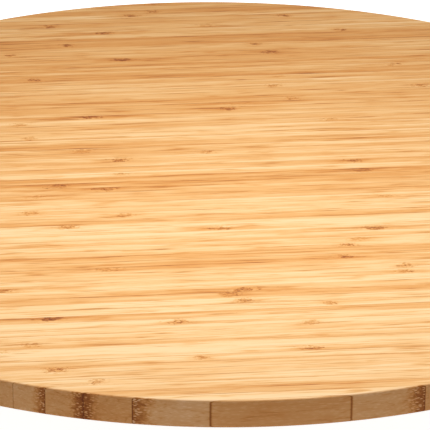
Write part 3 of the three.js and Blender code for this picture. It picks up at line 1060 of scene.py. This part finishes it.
bm = bmesh.new()
sector = [step * (i / 6 - 0.5) for i in range(7)]
outline = [around(RACE + CAGE_REACH, turn) for turn in sector]
outline += [around(RACE - CAGE_REACH, turn) for turn in reversed(sector)]
verts = [bm.verts.new(Vector((px, py, -CAGE_HALF)) * MM) for px, py in outline]
edges = [bm.edges.new(pair) for pair in zip(verts, verts[1:] + verts[:1])]
fill(bm, edges, circle(bm, POCKET, -CAGE_HALF, 24, around(RACE, 0)))
bmesh.ops.spin(
    bm,
    geom=bm.verts[:] + bm.edges[:] + bm.faces[:],
    cent=(0, 0, 0),
    axis=(0, 0, 1),
    angle=TURN - step,
    steps=BALL_COUNT - 1,
    use_duplicate=True,
)
bmesh.ops.remove_doubles(bm, verts=bm.verts, dist=SAME_POINT)
raised = verts_of(bmesh.ops.extrude_face_region(bm, geom=bm.faces[:])["geom"])
bmesh.ops.translate(bm, vec=(0, 0, 2 * CAGE_HALF * MM), verts=raised)
sharp = [edge for edge in bm.edges if edge.calc_face_angle(0.0) > 1.0]
ease(bm, sharp, 0.12)
cage = copy_of(bm, (0, 0, BEARING_MIDDLE))
add_piece(cage, "nylon_cage", "ball_ring", "ball_cage", natural_nylon)

bm = bmesh.new()
bmesh.ops.create_icosphere(bm, subdivisions=4, radius=BALL * MM)
for i in range(BALL_COUNT):
    ball = copy_of(bm, (*around(RACE, step * i), BEARING_MIDDLE))
    name = f"ball_{i + 1:02d}"
    add_piece(ball, f"bearing_{name}", "ball_ring", name, polished_steel, sharp_angle=180)
print("placed", BALL_COUNT, "balls")

# %% [markdown]
# ## Screws
#
# The thread is the line of one turn's crest and root, spun about the axis while it climbs. After a full
# turn its upper end meets its own lower start, so the turns join into one surface. Two cuts give it its
# length, and the point is a cone, made by drawing the last turns in towards the axis.

# %% The thread
PITCH = 1.34
ROOT = 1.25
FLANK_START = 0.55
CREST = (0.88, 1.02)
POINT_END = 0.06
TURN_STEPS = 24


def thread(bm, length):
    """The threaded shank, from the head down to the point."""
    turns = math.ceil(length / PITCH) + 1
    line = [(ROOT, 0), (ROOT, FLANK_START), (SHANK, CREST[0]), (SHANK, CREST[1]), (ROOT, PITCH)]
    verts = [bm.verts.new((radius * MM, 0, (height - turns * PITCH) * MM)) for radius, height in line]
    edges = [bm.edges.new(pair) for pair in zip(verts, verts[1:])]
    bmesh.ops.spin(
        bm,
        geom=verts + edges,
        cent=(0, 0, 0),
        axis=(0, 0, 1),
        dvec=(0, 0, PITCH * MM / TURN_STEPS),
        angle=TURN * (turns + 1),
        steps=TURN_STEPS * (turns + 1),
    )
    bmesh.ops.remove_doubles(bm, verts=bm.verts, dist=0.01 * MM)
    for height, normal in ((0.0, 1), (-length, -1)):
        bmesh.ops.bisect_plane(
            bm,
            geom=bm.verts[:] + bm.edges[:] + bm.faces[:],
            plane_co=(0, 0, height * MM),
            plane_no=(0, 0, normal),
            clear_outer=True,
        )
    for vert in bm.verts:
        above_point = vert.co.z / MM + length
        vert.co.xy *= min(1.0, POINT_END + above_point / (2 * SHANK))


print("the thread climbs", PITCH, "mm a turn")

# %% [markdown]
# The pan head is a spun line with a flat on top. A cross-shaped outline is laid in the flat, the flat is
# filled round it, and the recess is sunk from it and narrows as it goes down. Then the thread joins the
# head: the flat ring between the two is filled, and so is the tip, so that the screw is closed.

# %% The head and its recess
HEAD = size_of("lower_plate_screw_1").y / 2
HEAD_WALL = 0.9
SHOULDER = 2.75
CROWN_FLAT = 2.2
CROWN = 2.12
CROWN_DROP = 0.22
RECESS_DEPTH = 1.3
RECESS_ARM = 1.9
RECESS_HALF = 0.5
RECESS_TAPER = 0.62


def cross_outline(bm, height):
    """The edges of the recess's mouth: a cross with four equal arms."""
    arm, half = RECESS_ARM, RECESS_HALF
    quarter = [Vector(point) for point in ((arm, -half), (arm, half), (half, half))]
    points = [Matrix.Rotation(side, 2) @ point for side in sides for point in quarter]
    verts = [bm.verts.new((point.x * MM, point.y * MM, height * MM)) for point in points]
    return [bm.edges.new((vert, verts[i - 1])) for i, vert in enumerate(verts)]


def screw(length):
    """A screw with its head's underside at 0 and its point down."""
    shoulder = (SHOULDER, CROWN - CROWN_DROP, 1.2)
    head_line = [(ROOT, 0), (HEAD, 0, 0.15), (HEAD, HEAD_WALL, 0.7), shoulder, (CROWN_FLAT, CROWN)]
    bm = spun(rounded(head_line), 48)
    fill(bm, open_loop(bm, CROWN_FLAT, CROWN), cross_outline(bm, CROWN))
    open_edges = [edge for edge in bm.edges if edge.is_boundary]
    mouth = [edge for edge in open_edges if abs(edge.verts[0].co.z - CROWN * MM) < 0.01 * MM]
    fill(bm, sink(bm, mouth, -RECESS_DEPTH, end_scale=RECESS_TAPER))
    shank = bmesh.new()
    thread(shank, length)
    mesh = bpy.data.meshes.new("shank")
    shank.to_mesh(mesh)
    bm.from_mesh(mesh)
    bpy.data.meshes.remove(mesh)
    shank.free()
    open_edges = [edge for edge in bm.edges if edge.is_boundary]
    seat = [edge for edge in open_edges if max(vert.co.z for vert in edge.verts) > -0.1 * MM]
    tip = [edge for edge in open_edges if edge not in seat]
    fill(bm, seat)
    fill(bm, tip)
    return bm


print("the head is", 2 * HEAD, "mm across and", CROWN, "mm high")


# %% [markdown]
# A screw's length is what its plain node has below its head. The plain head is rounder on top and has its
# recess cut right through the crown, which leaves it 2.07 mm high. The lower plate's screws point down. The
# upper plate's and the feet's point up, so they are turned over first. No two are driven in equally far.

# %% Place the screws
PLAIN_HEAD = 2.07
SCREW_TURN = 1.1
screw_rows = (
    ("lower_plate_screw", "base", plate_places, False),
    ("upper_plate_screw", "turntable", [around(SCREW_CIRCLE, side) for side in sides], True),
    ("foot_screw", "base", foot_places, True),
)
for row, body, places, points_up in screw_rows:
    low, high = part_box(f"{row}_1")
    length = (high.z - low.z) / MM - PLAIN_HEAD
    bm = screw(length)
    if points_up:
        bmesh.ops.transform(bm, matrix=turn_over, verts=bm.verts)
    seat = high.z / MM - length if points_up else low.z / MM + length
    for i, place in enumerate(places, 1):
        one = copy_of(bm, (*place, seat), turn=SCREW_TURN * i)
        add_piece(one, f"{row}_{i}_threaded", body, f"{row}_{i}", zinc_on_screws)
    bm.free()
    print(row, "is", round(length, 1), "mm long under its head")

# %% [markdown]
# ## Feet
#
# A foot is a rubber button with a stepped hole. Its screw pulls a steel washer against the step, so the
# rubber can't tear off over the small head. Two rings are moulded into its tread to grip the table, and a
# faint line round its side is where the two halves of the mould met. All of it is one closed line, spun. The
# line starts and ends in the middle of a wall, so that every corner of it can be rounded.

# %% The feet and their washers
FOOT = size_of("foot_1").x / 2
WASHER = size_of("foot_washer_1").x / 2
FOOT_TREAD = FOOT - 1.5
FOOT_RECESS = WASHER + 0.3
FOOT_TAPER = 2.0
MOULD_LINE = 4.0
MOULD_LINE_HALF = 0.1
MOULD_LINE_DEPTH = 0.12
foot_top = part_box("foot_1")[1].z / MM
washer_low, washer_high = [corner.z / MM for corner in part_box("foot_washer_1")]
recess_top = washer_high + 0.05
TREAD_RINGS = (5.9, 7.1)
RING_MOUTH = 0.35
RING_FLOOR = 0.2
RING_DEPTH = 0.3
tread_rings = []
for middle in TREAD_RINGS:
    tread_rings += [(middle - RING_MOUTH, 0, 0.1), (middle - RING_FLOOR, RING_DEPTH, 0.1)]
    tread_rings += [(middle + RING_FLOOR, RING_DEPTH, 0.1), (middle + RING_MOUTH, 0, 0.1)]
foot_line = [
    (FOOT_RECESS, 0.8),
    (FOOT_RECESS, 0, 0.3),
    *tread_rings,
    (FOOT_TREAD, 0, 0.6),
    (FOOT, FOOT_TAPER, 0.8),
    (FOOT, MOULD_LINE - MOULD_LINE_HALF, 0.05),
    (FOOT - MOULD_LINE_DEPTH, MOULD_LINE),
    (FOOT, MOULD_LINE + MOULD_LINE_HALF, 0.05),
    (FOOT, foot_top, 0.4),
    (PILOT, foot_top),
    (PILOT, recess_top),
    (FOOT_RECESS, recess_top, 0.3),
    (FOOT_RECESS, 0.8),
]
bm = spun(rounded(foot_line)[:-1], 64, closed=True)
washer_line = [
    (PILOT, washer_low + 0.4),
    (PILOT, washer_low, 0.1),
    (WASHER, washer_low, 0.2),
    (WASHER, washer_high, 0.1),
    (PILOT, washer_high, 0.05),
    (PILOT, washer_low + 0.4),
]
ring = spun(rounded(washer_line)[:-1], 48, closed=True)
for i, place in enumerate(foot_places, 1):
    foot = copy_of(bm, (*place, 0))
    add_piece(foot, f"rubber_foot_{i}", "base", f"foot_{i}", black_rubber)
    washer = copy_of(ring, (*place, 0))
    add_piece(washer, f"steel_washer_{i}", "base", f"foot_washer_{i}", washer_steel)
bm.free()
ring.free()
print("the feet are", round(foot_top, 1), "mm high")

# %% [markdown]
# ## Light
#
# The light is that of a small studio. The board lies on a white table with a little light of its own, as
# the lit tables for small goods have, so its shadow stays pale. A soft lamp hangs low over the front of
# the board. Because it is near, its light falls off towards the back, and because it is above, it leaves
# the rim in the shade of the board's own edge.
#
# The room is a plain world colour. The camera sees the room and the table bright, and everything else gets
# the weaker light that the board needs: a Light Path node tells the two apart.

# %% The table and the room
TABLE_RADIUS = 12
TABLE_GLOW = 0.93
ROOM_LIGHT = 0.22
ROOM_SEEN = 1.1


def seen_by_camera(tree):
    """1 for what the camera sees straight, and 0 for light that goes anywhere else."""
    return tree.nodes.new("ShaderNodeLightPath").outputs["Is Camera Ray"]


bm = bmesh.new()
below_feet = Matrix.Translation((0, 0, -0.1 * MM))
bmesh.ops.create_circle(bm, cap_ends=True, radius=TABLE_RADIUS, segments=128, matrix=below_feet)
table_mesh = bpy.data.meshes.new("table")
bm.to_mesh(table_mesh)
bm.free()
table = new_object("table", table_mesh)
table_white, _, shader = new_material("table_white")
plug(shader.inputs["Base Color"], (0.9, 0.9, 0.9, 1))
plug(shader.inputs["Roughness"], 0.6)
shader.inputs["Emission Color"].default_value = (1, 1, 1, 1)
glow = multiply(seen_by_camera(table_white.node_tree), TABLE_GLOW)
plug(shader.inputs["Emission Strength"], glow)
table_mesh.materials.append(table_white)

world = bpy.data.worlds.new("room")
world.use_nodes = True
bpy.context.scene.world = world
sky = world.node_tree.nodes["Background"]
sky.inputs["Color"].default_value = (1, 1, 1, 1)
strength = calc("MULTIPLY_ADD", seen_by_camera(world.node_tree), ROOM_SEEN - ROOM_LIGHT, ROOM_LIGHT)
plug(sky.inputs["Strength"], strength)
print("the room gives", ROOM_LIGHT, "and the table", TABLE_GLOW)

# %% [markdown]
# The lamps are area lights, because a small lamp would throw a hard shadow and a bright spot. The first is
# the one over the board. The second is a white card that stands low in front and throws a little light back
# on the rim. The third is the wide panel behind, which makes a faint shine on the front half.

# %% The lamps
def lamp(name, place, aim, size, power):
    """An oblong area light that the camera can't see."""
    light = bpy.data.lights.new(name, "AREA")
    light.shape = "RECTANGLE"
    light.size, light.size_y = size
    light.energy = power
    made = new_object(name, light)
    made.location = place
    made.rotation_mode = "QUATERNION"
    made.rotation_quaternion = (Vector(aim) - Vector(place)).to_track_quat("-Z", "Y")
    made.visible_camera = False


lamp("key_lamp", (0.0, -0.08, 0.50), (0.0, -0.08, 0.04), (0.30, 0.22), 2.4)
lamp("front_card", (0.0, -1.0, 0.15), (0.0, -0.22, 0.03), (0.60, 0.30), 0.35)
lamp("back_panel", (0.0, 0.75, 0.62), (0.0, -0.2, 0.04), (1.4, 0.5), 2.0)
print("three lamps are hung")

# %% [markdown]
# The colours should come out as lit, without a film look, so the view transform is the standard one. The
# last cell measures the finished pieces against the frame's own box and then hands them over.

# %% The view transform
bpy.context.scene.view_settings.view_transform = "Standard"
bpy.context.scene.view_settings.look = "None"
